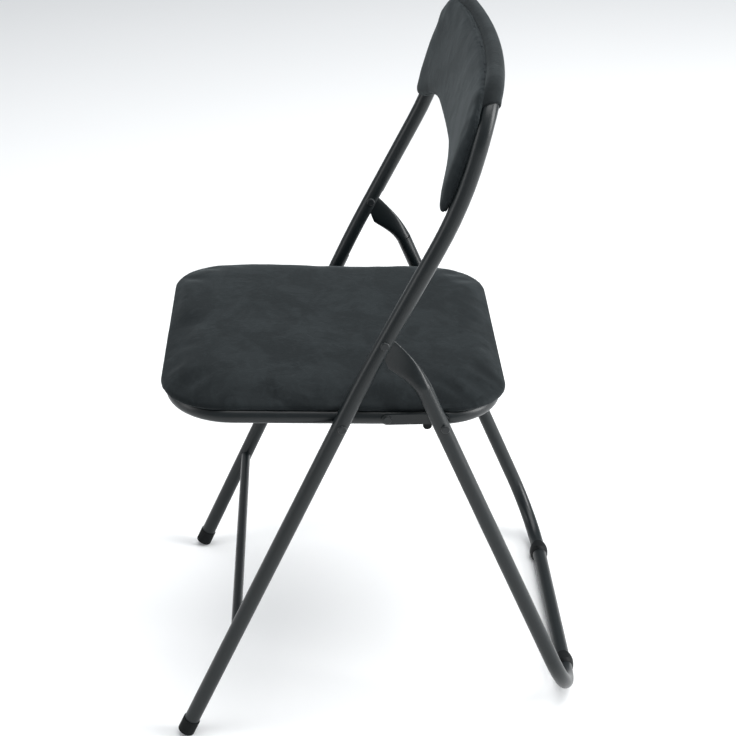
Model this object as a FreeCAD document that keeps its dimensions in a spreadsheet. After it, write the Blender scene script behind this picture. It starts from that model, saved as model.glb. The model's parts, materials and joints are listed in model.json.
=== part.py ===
import FreeCAD, Part

import math
import os

import Sketcher
from FreeCAD import Placement, Rotation, Vector

os.makedirs("parts", exist_ok=True)
doc = FreeCAD.newDocument("FoldingChair")

# Folding chair, millimetres and degrees. It stands on z = 0 and faces -Y; the origin is the middle
# of its footprint. The sitter's left is +X. Left pieces are made first and mirrored.

DIMENSIONS = {
    # steel tube of both frames and the seat
    "tube_diameter": 19.0,
    "tube_wall": 1.2,
    # front frame: both front legs and the backrest arch are one bent tube
    "front_half_width": 217.0,
    "arch_half_width": 215.5,
    "front_foot_y": -245.6,
    "front_lean": 63.185,
    "leg_bend_height": 482.9,
    "leg_bend_radius": 1800.0,
    "upper_lean": 60.5,
    "back_bend_height": 686.5,
    "back_bend_radius": 500.0,
    "back_lean": 74.0,
    "arch_height": 800.5,
    "arch_corner_radius": 60.0,
    "arch_bow_angle": 7.2,
    "arch_bow_radius": 1200.0,
    "tube_foot_height": 9.0,
    "crossbar_diameter": 12.3,
    "crossbar_height": 148.3,
    # rubber foot caps
    "cap_radius": 10.6,
    "cap_bore_radius": 9.55,
    "cap_length": 20.0,
    "cap_sole": 5.0,
    "cap_edge": 1.6,
    "cap_flat": 1.2,
    # pivots, all along X
    "main_pivot_height": 526.9,
    "seat_pivot_height": 424.6,
    "seat_pivot_setback": 2.0,
    "link_pivot_height": 420.1,
    "link_pivot_setback": 3.4,
    "seat_arm": 52.2,
    "pin_radius": 3.0,
    "pin_play": 0.15,
    "head_radius": 5.2,
    "head_height": 2.2,
    "bush_radius": 5.4,
    "bush_play": 0.45,
    # slot in the front tube that takes the flattened end of the rear tube
    "slot_width": 10.6,
    "slot_above": 18.5,
    "slot_below": 85.0,
    # rear frame: one U tube, its floor bar below and its two ends pressed flat
    "rear_half_width": 220.1,
    "rear_floor_y": 239.7,
    "rear_lean": 69.226,
    "floor_bar_height": 11.5,
    "rear_corner_radius": 78.0,
    "blade_bend_distance": 500.0,
    "blade_bend_radius": 110.0,
    "blade_angle": 45.0,
    "blade_half_width": 15.2,
    "blade_half_thickness": 2.3,
    "blade_tip_radius": 7.0,
    "blade_round_distance": 72.0,
    "blade_trim_height": 120.0,
    "rear_fold": 47.59,
    # plastic floor glides
    "glide_half_gap": 131.0,
    "glide_length": 30.0,
    "glide_thickness": 3.2,
    "glide_rib": 0.5,
    "glide_ear_drop": 3.0,
    # stay links
    "link_inner_x": 202.6,
    "link_thickness": 2.5,
    "link_height": 13.0,
    "link_rivet_stub": 0.8,
    "link_head_height": 1.7,
    "bumper_radius": 5.2,
    "bumper_distance": 19.0,
    "bumper_drop": 8.0,
    # seat
    "seat_tilt": 3.9,
    "seat_tube_half_width": 192.0,
    "seat_tube_front": 196.0,
    "seat_tube_rear": 180.0,
    "seat_corner_radius": 70.0,
    "seat_board_half_width": 196.5,
    "seat_board_thickness": 5.0,
    "seat_pad_half_width": 199.0,
    "seat_pad_overhang": 15.0,
    "seat_pad_corner_radius": 72.0,
    "seat_pad_thickness": 15.0,
    "seat_pad_edge": 6.0,
    # screws, their heads inside the tubes; a seat is from a tube's middle to under the head
    "seat_screw_inset": 105.0,
    "seat_screw_middle": 10.0,
    "screw_radius": 1.75,
    "screw_play": 0.1,
    "screw_tip_cover": 0.5,
    "screw_head_radius": 3.6,
    "screw_head_height": 2.0,
    "screw_head_seat": 7.3,
    "screw_access_radius": 4.0,
    # backrest, in a frame that leans with the side tubes near back_origin
    "back_origin_y": 124.2,
    "back_origin_height": 727.0,
    "backrest_lean": 70.8,
    "backrest_bow": 14.0,
    "backrest_half_width": 217.5,
    "backrest_top": 90.0,
    "backrest_shoulder": 82.0,
    "backrest_corner_radius": 50.0,
    "backrest_tip_drop": 62.0,
    "backrest_hollow_drop": 29.0,
    "backrest_rear_gap": 12.2,
    "backrest_board_thickness": 4.0,
    "backrest_board_inset": 2.0,
    "backrest_rim_thickness": 8.2,
    "backrest_crown_thickness": 14.8,
    "back_screw_height": 22.0,
    "back_screw_offset": 3.0,
    "back_head_seat": 4.2,
    "back_screw_reach": 10.3,
    # fabric sleeve over the arch
    "sleeve_hem_share": 0.55,
    "sleeve_thickness": 1.5,
    "sleeve_play": 0.4,
}

sheet = doc.addObject("Spreadsheet::Sheet", "Dimensions")
for row, (alias, value) in enumerate(DIMENSIONS.items(), start=1):
    sheet.set(f"A{row}", alias)
    sheet.set(f"B{row}", str(value))
    sheet.setAlias(f"B{row}", alias)
doc.recompute()

X_AXIS = Vector(1, 0, 0)
Z_AXIS = Vector(0, 0, 1)
nodes = []


def dim(alias):
    """The sheet's value under this alias."""
    return float(sheet.get(alias))


def bind(item, expressions):
    """Bind an object's properties to the sheet, whose name is written as D for short."""
    for name, expression in expressions.items():
        item.setExpression(name, expression.replace("D.", "Dimensions."))
    return item


def node(item, label):
    """Name a finished sub-part."""
    item.Label = label
    nodes.append(item)
    return item


def mirrored(item, label):
    """The same piece on the other side of the chair."""
    mirror = doc.addObject("Part::Mirroring", label + "_mirror")
    mirror.Source = item
    mirror.Base = Vector(0, 0, 0)
    mirror.Normal = X_AXIS
    return node(mirror, label)


def pair(item, stem):
    """Name a left piece and make its right twin."""
    node(item, stem + "_left")
    mirrored(item, stem + "_right")


def boolean(kind, name, base, tool):
    """A Part::Cut or Part::Common of two objects."""
    result = doc.addObject("Part::" + kind, name)
    result.Base = base
    result.Tool = tool
    return result


def fused(name, items):
    """One solid of several overlapping ones."""
    result = doc.addObject("Part::MultiFuse", name)
    result.Shapes = items
    return result


def grouped(name, items):
    """Separate solids that share a node."""
    result = doc.addObject("Part::Compound", name)
    result.Links = items
    return result


def cylinder(name, radius, height, start, direction):
    """A cylinder whose radius and height are expressions of the sheet."""
    item = doc.addObject("Part::Cylinder", name)
    bind(item, {"Radius": radius, "Height": height})
    item.Placement = Placement(start, Rotation(Z_AXIS, direction))
    return item


def ring(name, radius, bore, height, start, direction):
    """A washer or bush."""
    outer = cylinder(name + "_outer", radius, height, start, direction)
    inner = cylinder(name + "_bore", bore, height, start, direction)
    return boolean("Cut", name, outer, inner)


def domed_head(name, radius, height, start, direction):
    """A rivet or screw head with a rounded rim, its flat face at start."""
    blank = cylinder(name + "_blank", radius, height, start, direction)
    doc.recompute()
    head = doc.addObject("Part::Fillet", name)
    head.Base = blank
    rim = start + direction * blank.Height.Value
    rounding = 0.8 * blank.Height.Value
    for number, edge in enumerate(blank.Shape.Edges, start=1):
        on_rim = all(abs((v.Point - rim).dot(direction)) < 1e-6 for v in edge.Vertexes)
        if edge.Closed and on_rim:
            head.Edges = [(number, rounding, rounding)]
    return head


def on_plane(height, foot_y, lean):
    """The y of a line that leaves foot_y at floor level and leans back by this angle."""
    return foot_y + height / math.tan(math.radians(lean))


# --- where the pivots are ------------------------------------------------------------------------

half_width = dim("front_half_width")
leg_bend_y = on_plane(dim("leg_bend_height"), dim("front_foot_y"), dim("front_lean"))
back_bend_y = on_plane(dim("back_bend_height") - dim("leg_bend_height"), leg_bend_y, dim("upper_lean"))
arch_y = on_plane(dim("arch_height") - dim("back_bend_height"), back_bend_y, dim("back_lean"))
bow_y = arch_y + dim("arch_half_width") * math.tan(math.radians(dim("arch_bow_angle")))

leg_bend = Vector(half_width, leg_bend_y, dim("leg_bend_height"))
back_bend = Vector(dim("arch_half_width"), back_bend_y, dim("back_bend_height"))
main_share = (dim("main_pivot_height") - leg_bend.z) / (back_bend.z - leg_bend.z)
main_pivot = leg_bend + (back_bend - leg_bend) * main_share
seat_pivot_y = on_plane(dim("seat_pivot_height"), dim("front_foot_y"), dim("front_lean"))
seat_pivot = Vector(half_width, seat_pivot_y + dim("seat_pivot_setback"), dim("seat_pivot_height"))
floor_bar = Vector(0, dim("rear_floor_y"), dim("floor_bar_height"))
rear_up = Vector(0, -math.cos(math.radians(dim("rear_lean"))), math.sin(math.radians(dim("rear_lean"))))
rear_rise = (dim("link_pivot_height") - floor_bar.z) / rear_up.z
link_pivot = floor_bar + rear_up * rear_rise + Vector(dim("rear_half_width"), dim("link_pivot_setback"), 0)
link_line = Vector(0, link_pivot.y - seat_pivot.y, link_pivot.z - seat_pivot.z)
link_joint = Vector(0, seat_pivot.y, seat_pivot.z) + Vector(link_line).normalize() * dim("seat_arm")


# --- bent tubes ----------------------------------------------------------------------------------

def rounded_route(points, radii, closed=False):
    """Straight runs through the points, joined by tangent arcs of the given radii."""
    edges = []
    starts = []
    last = len(points) - 1
    corners = range(len(points)) if closed else range(1, last)
    arcs = {}
    for i in corners:
        before, corner, after = points[i - 1], points[i], points[(i + 1) % len(points)]
        back = (before - corner).normalize()
        ahead = (after - corner).normalize()
        half_turn = (math.pi - back.getAngle(ahead)) / 2
        reach = radii[i] * math.tan(half_turn)
        to_centre = (back + ahead).normalize()
        middle = corner + to_centre * (radii[i] / math.cos(half_turn) - radii[i])
        arcs[i] = (corner + back * reach, middle, corner + ahead * reach)
    if not closed:
        starts.append(points[0])
    for i in corners:
        first, middle, end = arcs[i]
        if starts:
            edges.append(Part.makeLine(starts[-1], first))
        edges.append(Part.Arc(first, middle, end).toShape())
        starts.append(end)
    finish = arcs[0][0] if closed else points[-1]
    edges.append(Part.makeLine(starts[-1], finish))
    return Part.Wire(Part.__sortEdges__(edges))


def route_object(name, wire):
    """A tube's centre line as an object of the document."""
    item = doc.addObject("Part::Feature", name)
    item.Shape = wire
    return item


def swept(name, route, radius, start, direction):
    """A round bar along a route."""
    circle = doc.addObject("Part::Circle", name + "_section")
    bind(circle, {"Radius": radius})
    circle.Placement = Placement(start, Rotation(Z_AXIS, direction))
    sweep = doc.addObject("Part::Sweep", name)
    sweep.Sections = [circle]
    sweep.Spine = (route, [f"Edge{n + 1}" for n in range(len(route.Shape.Edges))])
    sweep.Solid = True
    sweep.Frenet = False
    return sweep


# --- front frame ---------------------------------------------------------------------------------

def front_route_points():
    """The right foot, the arch and the left foot, in order."""
    foot = Vector(half_width, on_plane(dim("tube_foot_height"), dim("front_foot_y"), dim("front_lean")),
                  dim("tube_foot_height"))
    corner = Vector(dim("arch_half_width"), arch_y, dim("arch_height"))
    left = [foot, leg_bend, back_bend, corner]
    right = [Vector(-p.x, p.y, p.z) for p in reversed(left)]
    return left + [Vector(0, bow_y, dim("arch_height"))] + right


def front_route_radii():
    """One bend radius for each point of the front route."""
    side = [0, dim("leg_bend_radius"), dim("back_bend_radius"), dim("arch_corner_radius")]
    return side + [dim("arch_bow_radius")] + side[::-1]


def main_slot(side):
    """The cutter for the slot in the rear wall of one front tube."""
    slot = doc.addObject("Part::Box", f"main_slot_{side}")
    bind(slot, {"Length": "D.slot_width", "Width": "D.tube_diameter",
                "Height": "D.slot_above + D.slot_below"})
    corner = Vector(-dim("slot_width") / 2, dim("pin_radius"), -dim("slot_below"))
    lean = Rotation(X_AXIS, dim("upper_lean") - 90)
    middle = Vector(main_pivot.x if side == "left" else -main_pivot.x, main_pivot.y, main_pivot.z)
    slot.Placement = Placement(middle + lean.multVec(corner), lean)
    return slot


def cross_hole(name, radius, point, side):
    """A drill through one tube, along X."""
    x = point.x if side == "left" else -point.x
    start = Vector(x - dim("tube_diameter"), point.y, point.z)
    return cylinder(f"{name}_{side}", radius, "2 * D.tube_diameter", start, X_AXIS)


def back_frame():
    """Placement of the backrest: x across, y to the rear, z up along its lean."""
    origin = Vector(0, dim("back_origin_y"), dim("back_origin_height"))
    return Placement(origin, Rotation(X_AXIS, dim("backrest_lean") - 90))


def back_screw_points():
    """Where the screws cross the side tubes, in the backrest's own frame."""
    x, z = dim("arch_half_width") - dim("back_screw_offset"), dim("back_screw_height")
    return [Vector(side * x, 0, height) for side in (1, -1) for height in (z, -z)]


def screw_drills(name, middle, away):
    """A screw's hole through the tube wall and, on the side away, the wider hole for its head."""
    narrow = cylinder(name, "D.screw_radius + D.screw_play", "D.tube_diameter", middle, -away)
    wide = cylinder(name + "_access", "D.screw_access_radius", "D.tube_diameter", middle, away)
    return [narrow, wide]


def build_front_tube():
    """Both front legs and the arch, with slots for the rear frame and holes for the fasteners."""
    points = front_route_points()
    route = route_object("front_route", rounded_route(points, front_route_radii()))
    direction = (points[1] - points[0]).normalize()
    outer = swept("front_tube_outer", route, "D.tube_diameter / 2", points[0], direction)
    inner = swept("front_tube_bore", route, "D.tube_diameter / 2 - D.tube_wall", points[0], direction)
    cutters = [inner]
    for side in ("left", "right"):
        cutters.append(main_slot(side))
        cutters.append(cross_hole("main_hole", "D.pin_radius", main_pivot, side))
        cutters.append(cross_hole("seat_hole", "D.pin_radius", seat_pivot, side))
    frame = back_frame()
    rearward = frame.Rotation.multVec(Vector(0, 1, 0))
    for number, point in enumerate(back_screw_points()):
        cutters += screw_drills(f"back_screw_hole_{number}", frame.multVec(point), rearward)
    holes = fused("front_tube_cutters", cutters)
    tube = boolean("Cut", "front_tube", outer, holes)
    node(tube, "front_frame_tube")
    return outer, route


def build_crossbar(outer):
    """The thin bar between the front legs, its ends coped to the tubes."""
    height = dim("crossbar_height")
    start = Vector(-half_width, on_plane(height, dim("front_foot_y"), dim("front_lean")), height)
    bar = cylinder("crossbar_bar", "D.crossbar_diameter / 2", "2 * D.front_half_width", start, X_AXIS)
    node(boolean("Cut", "crossbar_coped", bar, outer), "front_crossbar")


def profile_sketch(body, name, corners):
    """A closed outline on the body's XZ plane; each corner is a pair of sheet aliases or None."""
    sketch = body.newObject("Sketcher::SketchObject", name)
    plane = [p for p in body.Origin.OriginFeatures if p.Role == "XZ_Plane"][0]
    sketch.AttachmentSupport = [(plane, "")]
    sketch.MapMode = "FlatFace"
    places = [Vector(dim(a) if a else 0, dim(b) if b else 0, 0) for a, b in corners]
    count = len(places)
    for i in range(count):
        sketch.addGeometry(Part.LineSegment(places[i], places[(i + 1) % count]), False)
    for i in range(count):
        sketch.addConstraint(Sketcher.Constraint("Coincident", i, 2, (i + 1) % count, 1))
    for i, (across, up) in enumerate(corners):
        for alias, kind, axis in ((across, "DistanceX", -2), (up, "DistanceY", -1)):
            if alias:
                index = sketch.addConstraint(Sketcher.Constraint(kind, -1, 1, i, 1, dim(alias)))
                sketch.setExpression(f"Constraints[{index}]", f"Dimensions.{alias}")
            else:
                sketch.addConstraint(Sketcher.Constraint("PointOnObject", i, 1, axis))
    return sketch


def build_foot_cap():
    """A rubber cup on the end of the leg, worn flat where it meets the floor."""
    body = doc.addObject("PartDesign::Body", "foot_cap_body")
    corners = [(None, None), ("cap_radius", None), ("cap_radius", "cap_length"),
               ("cap_bore_radius", "cap_length"), ("cap_bore_radius", "cap_sole"), (None, "cap_sole")]
    sketch = profile_sketch(body, "foot_cap_profile", corners)
    turn = body.newObject("PartDesign::Revolution", "foot_cap_turned")
    turn.Profile = sketch
    turn.ReferenceAxis = (sketch, ["V_Axis"])
    turn.Angle = 360
    doc.recompute()
    rounding = body.newObject("PartDesign::Fillet", "foot_cap_rounded")
    rims = [f"Edge{n}" for n, edge in enumerate(turn.Shape.Edges, start=1)
            if edge.Closed and abs(edge.BoundBox.ZMax) < 1e-6]
    rounding.Base = (turn, rims)
    bind(rounding, {"Radius": "D.cap_edge"})
    body.Tip = rounding
    lean = math.radians(dim("front_lean"))
    low = dim("cap_radius") * math.cos(lean) - dim("cap_flat")
    end = Vector(half_width, on_plane(low, dim("front_foot_y"), dim("front_lean")), low)
    body.Placement = Placement(end, Rotation(X_AXIS, dim("front_lean") - 90))
    floor = doc.addObject("Part::Box", "foot_cap_floor")
    bind(floor, {"Length": "4 * D.cap_radius", "Width": "4 * D.cap_radius", "Height": "D.cap_length"})
    floor.Placement.Base = end + Vector(-2 * dim("cap_radius"), -2 * dim("cap_radius"),
                                        -end.z - dim("cap_length"))
    pair(boolean("Cut", "foot_cap", body, floor), "foot_cap")


# --- pins ----------------------------------------------------------------------------------------

def rivet(name, point, inner_x, outer_x):
    """A rivet along X with a domed head at each end."""
    start = Vector(inner_x, point.y, point.z)
    shank = doc.addObject("Part::Cylinder", name + "_shank")
    bind(shank, {"Radius": "D.pin_radius"})
    shank.Height = outer_x - inner_x
    shank.Placement = Placement(start, Rotation(Z_AXIS, X_AXIS))
    end = Vector(outer_x, point.y, point.z)
    outer = domed_head(name + "_outer_head", "D.head_radius", "D.head_height", end, X_AXIS)
    inner = domed_head(name + "_inner_head", "D.head_radius", "D.head_height", start, -X_AXIS)
    return fused(name, [shank, outer, inner])


def spacer(name, point, start_x, length):
    """A washer round a pin, between two pieces."""
    item = ring(name, "D.bush_radius", "D.pin_radius + D.pin_play", "D.bush_radius",
                Vector(start_x, point.y, point.z), X_AXIS)
    for blank in (item.Base, item.Tool):
        blank.setExpression("Height", None)
        blank.Height = length
    return item


def build_pivots():
    """Rivets, bushes and spacers of the main and seat pivots."""
    tube_radius = dim("tube_diameter") / 2
    seat_side = dim("seat_tube_half_width")
    main = rivet("main_rivet", main_pivot, main_pivot.x - tube_radius, main_pivot.x + tube_radius)
    pair(main, "main_rivet")
    inside = tube_radius - dim("tube_wall")
    bush_room = math.sqrt(inside ** 2 - dim("bush_radius") ** 2)
    near_blade = dim("blade_half_thickness") + dim("bush_play")
    length = bush_room - near_blade
    bushes = [spacer("main_bush_outer", main_pivot, main_pivot.x + near_blade, length),
              spacer("main_bush_inner", main_pivot, main_pivot.x - bush_room, length)]
    pair(grouped("main_bushes", bushes), "main_bushes")
    seat = rivet("seat_rivet", seat_pivot, seat_side - tube_radius - dim("bush_play"),
                 half_width + tube_radius)
    pair(seat, "seat_rivet")
    outside_seat = seat_side + tube_radius + dim("bush_play")
    gap = half_width - tube_radius - outside_seat
    pair(spacer("seat_spacer", seat_pivot, outside_seat, gap), "seat_spacer")


# --- rear frame ----------------------------------------------------------------------------------

# Distance below the pivot, then how far the section has come from pressed to round: its width,
# and its thickness.
BLADE_SHAPE = [(-14.0, 0.0, 0.0), (14.0, 0.0, 0.0), (30.0, 0.22, 0.08), (44.0, 0.55, 0.36),
               (58.0, 0.86, 0.8), (dim("blade_round_distance"), 1.0, 1.0)]


def blade_place(distance):
    """Point and up direction on the blade's centre line, this far below the main pivot."""
    corner = floor_bar + rear_up * dim("blade_bend_distance")
    angle = math.radians(dim("blade_angle"))
    ahead = Vector(0, -math.cos(angle), math.sin(angle))
    along = (Vector(0, main_pivot.y, main_pivot.z) - corner).dot(ahead)
    half_turn = rear_up.getAngle(ahead) / 2
    reach = dim("blade_bend_radius") * math.tan(half_turn)
    arc_length = dim("blade_bend_radius") * 2 * half_turn
    straight = along - reach
    if distance <= straight:
        return corner + ahead * (along - distance), ahead
    if distance >= straight + arc_length:
        return corner - rear_up * (distance - straight - arc_length + reach), rear_up
    turned = (distance - straight) / dim("blade_bend_radius")
    centre = corner + ahead * reach + Vector(0, -ahead.z, ahead.y) * dim("blade_bend_radius")
    spoke = Vector(0, ahead.z, -ahead.y)
    spin = Rotation(X_AXIS, math.degrees(-turned))
    return centre + spin.multVec(spoke) * dim("blade_bend_radius"), spin.multVec(ahead)


def blade_section(distance, half_wide, half_thick, power, x):
    """One closed section of the pressed tube end: round at power 2, flatter above it."""
    centre, up = blade_place(distance)
    across = Vector(0, up.z, -up.y)
    points = []
    count = 24
    for step in range(count):
        turn = 2 * math.pi * step / count
        wide = math.copysign(abs(math.cos(turn)) ** (2 / power), math.cos(turn)) * half_wide
        thick = math.copysign(abs(math.sin(turn)) ** (2 / power), math.sin(turn)) * half_thick
        points.append(centre + across * wide + X_AXIS * (x + thick))
    curve = Part.BSplineCurve()
    curve.interpolate(points, PeriodicFlag=True)
    return Part.Wire(curve.toShape())


def build_blade():
    """The tube's flattened upper end, from the round tube to the pivot."""
    flat, thin = dim("blade_half_width"), dim("blade_half_thickness")
    round_ = dim("tube_diameter") / 2
    front_x, rear_x = main_pivot.x, dim("rear_half_width")
    flat_power, round_power = 2.6, 2.0
    sections = []
    for distance, narrowing, rounding in BLADE_SHAPE:
        sections.append(blade_section(distance, flat + (round_ - flat) * narrowing,
                                      thin + (round_ - thin) * rounding,
                                      flat_power + (round_power - flat_power) * rounding,
                                      front_x + (rear_x - front_x) * rounding))
    blade = doc.addObject("Part::Feature", "blade_pressed")
    blade.Shape = Part.makeLoft(sections, True, False)
    return blade


def blade_trimmer(name, turn):
    """The cutter that keeps the blade's tip inside the front tube at one end of the fold."""
    box = doc.addObject("Part::Box", name)
    bind(box, {"Length": "D.tube_diameter", "Width": "2 * D.tube_diameter",
               "Height": "D.blade_trim_height"})
    lean = Rotation(X_AXIS, dim("upper_lean") - 90 + turn)
    corner = Vector(-dim("tube_diameter") / 2, -dim("blade_tip_radius") - 2 * dim("tube_diameter"),
                    -dim("blade_trim_height") / 2)
    box.Placement = Placement(main_pivot + lean.multVec(corner), lean)
    return box


def build_rear_tube():
    """The U tube with its two pressed ends."""
    leg_top, up = blade_place(dim("blade_round_distance"))
    x = dim("rear_half_width")
    top_left = leg_top + X_AXIS * x
    corner = floor_bar + X_AXIS * x
    points = [top_left, corner, Vector(-corner.x, corner.y, corner.z),
              Vector(-top_left.x, top_left.y, top_left.z)]
    radius = dim("rear_corner_radius")
    route = route_object("rear_route", rounded_route(points, [0, radius, radius, 0]))
    outer = swept("rear_tube_outer", route, "D.tube_diameter / 2", top_left, -up)
    inner = swept("rear_tube_bore", route, "D.tube_diameter / 2 - D.tube_wall", top_left, -up)
    tube = boolean("Cut", "rear_tube_hollow", outer, inner)
    trims = fused("blade_trims", [blade_trimmer("blade_trim_open", 0),
                                  blade_trimmer("blade_trim_folded", dim("rear_fold"))])
    left = boolean("Cut", "blade_left", build_blade(), trims)
    right = doc.addObject("Part::Mirroring", "blade_right")
    right.Source = left
    right.Normal = X_AXIS
    whole = fused("rear_tube_whole", [tube, left, right])
    drills = []
    for side in ("left", "right"):
        drills.append(cross_hole("blade_hole", "D.pin_radius + D.pin_play", main_pivot, side))
        drills.append(cross_hole("link_hole", "D.pin_radius", link_pivot, side))
    node(boolean("Cut", "rear_tube", whole, fused("rear_tube_drills", drills)), "rear_frame_tube")


def build_glide():
    """A plastic clip round the underside of the floor bar, with rounded ears and a flat sole."""
    start = floor_bar + X_AXIS * (dim("glide_half_gap") - dim("glide_length") / 2)
    shell = ring("glide_shell", "D.tube_diameter / 2 + D.glide_thickness + D.glide_rib",
                 "D.tube_diameter / 2", "D.glide_length", start, X_AXIS)
    ears = doc.addObject("Part::Ellipsoid", "glide_ears")
    bind(ears, {"Radius1": "D.tube_diameter", "Radius2": "D.glide_length / 2",
                "Radius3": "D.tube_diameter / 2 + D.glide_thickness"})
    ears.Placement.Base = floor_bar + X_AXIS * dim("glide_half_gap") - Z_AXIS * dim("glide_ear_drop")
    clip = boolean("Common", "glide_clip", shell, ears)
    floor = doc.addObject("Part::Box", "glide_floor")
    bind(floor, {"Length": "2 * D.glide_length", "Width": "4 * D.tube_diameter",
                 "Height": "D.glide_length"})
    floor.Placement.Base = Vector(dim("glide_half_gap") - dim("glide_length"),
                                  floor_bar.y - 2 * dim("tube_diameter"), -dim("glide_length"))
    pair(boolean("Cut", "glide", clip, floor), "floor_glide")


def build_link_pins():
    """The rivets that carry the links on the rear legs, and their spacers."""
    tube_radius = dim("tube_diameter") / 2
    inner_x = dim("link_inner_x") - dim("pin_play")
    outer_x = dim("rear_half_width") + tube_radius
    shank = doc.addObject("Part::Cylinder", "link_pin_shank")
    bind(shank, {"Radius": "D.pin_radius"})
    shank.Height = outer_x - inner_x
    shank.Placement = Placement(Vector(inner_x, link_pivot.y, link_pivot.z), Rotation(Z_AXIS, X_AXIS))
    head = domed_head("link_pin_head", "D.head_radius", "D.head_height",
                      Vector(outer_x, link_pivot.y, link_pivot.z), X_AXIS)
    pair(fused("link_pin", [shank, head]), "link_pin")
    start = dim("link_inner_x") + dim("link_thickness") + dim("bush_play")
    length = dim("rear_half_width") - tube_radius - start
    pair(spacer("link_spacer", link_pivot, start, length), "link_spacer")


# --- stay links ----------------------------------------------------------------------------------

def build_links():
    """A flat steel bar on each side, from the rear leg to the seat's side, with rivet and bumper."""
    x = dim("link_inner_x")
    back = Vector(x, link_pivot.y, link_pivot.z)
    front = Vector(x, link_joint.y, link_joint.z)
    along = (front - back).normalize()
    length = (front - back).Length
    round_ends = [cylinder(f"link_end_{n}", "D.link_height / 2", "D.link_thickness", p, X_AXIS)
                  for n, p in enumerate((back, front))]
    bar = doc.addObject("Part::Box", "link_bar")
    bind(bar, {"Length": "D.link_thickness", "Height": "D.link_height"})
    bar.Width = length
    angle = math.degrees(math.atan2(back.z - front.z, back.y - front.y))
    turn = Rotation(X_AXIS, angle)
    bar.Placement = Placement(front + turn.multVec(Vector(0, 0, -dim("link_height") / 2)), turn)
    plate = fused("link_plate", round_ends + [bar])
    holes = [cylinder(f"link_drill_{n}", "D.pin_radius + D.pin_play", "D.link_thickness", p, X_AXIS)
             for n, p in enumerate((back, front))]
    pair(boolean("Cut", "link", plate, fused("link_drills", holes)), "link")
    stub = dim("link_rivet_stub")
    shank = doc.addObject("Part::Cylinder", "link_rivet_shank")
    bind(shank, {"Radius": "D.pin_radius", "Height": "D.link_thickness + D.link_rivet_stub"})
    shank.Placement = Placement(front - X_AXIS * stub, Rotation(Z_AXIS, X_AXIS))
    head = domed_head("link_rivet_head", "D.head_radius", "D.link_head_height",
                      front + X_AXIS * dim("link_thickness"), X_AXIS)
    pair(fused("link_rivet", [shank, head]), "link_rivet")
    below = Vector(0, along.z, -along.y)
    if below.z > 0:
        below = -below
    spot = back + along * dim("bumper_distance") + below * dim("bumper_drop")
    knob = cylinder("bumper_knob", "D.bumper_radius", "D.link_thickness", spot, X_AXIS)
    pair(boolean("Cut", "bumper", knob, plate), "link_bumper")


# --- seat ----------------------------------------------------------------------------------------

def seat_frame():
    """Placement of the seat: its origin on the line between the seat pivots, tilted back."""
    return Placement(Vector(0, seat_pivot.y, seat_pivot.z), Rotation(X_AXIS, -dim("seat_tilt")))


def build_seat_tube():
    """The closed tube loop under the seat, drilled for its pivots and screws."""
    x, front, rear = dim("seat_tube_half_width"), -dim("seat_tube_front"), dim("seat_tube_rear")
    frame = seat_frame()
    corners = [Vector(x, front, 0), Vector(x, rear, 0), Vector(-x, rear, 0), Vector(-x, front, 0)]
    corners = [frame.multVec(p) for p in corners]
    wire = rounded_route(corners, [dim("seat_corner_radius")] * 4, closed=True)
    route = route_object("seat_route", wire)
    first = wire.OrderedEdges[0]
    start = first.valueAt(first.FirstParameter)
    direction = first.tangentAt(first.FirstParameter)
    outer = swept("seat_tube_outer", route, "D.tube_diameter / 2", start, direction)
    inner = swept("seat_tube_bore", route, "D.tube_diameter / 2 - D.tube_wall", start, direction)
    cutters = [inner]
    for side in ("left", "right"):
        point = Vector(x, seat_pivot.y, seat_pivot.z)
        cutters.append(cross_hole("seat_tube_hole", "D.pin_radius + D.pin_play", point, side))
    normal = frame.Rotation.multVec(Z_AXIS)
    for number, spot in enumerate(seat_screw_points()):
        cutters += screw_drills(f"seat_screw_hole_{number}", frame.multVec(spot), -normal)
    tube = boolean("Cut", "seat_tube", outer, fused("seat_tube_cutters", cutters))
    node(tube, "seat_frame_tube")


def seat_screw_points():
    """Three screws under each side tube, in the seat's own frame."""
    x, inset = dim("seat_tube_half_width"), dim("seat_screw_inset")
    rows = (-inset, dim("seat_screw_middle"), inset)
    return [Vector(side * x, y, 0) for side in (1, -1) for y in rows]


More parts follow.
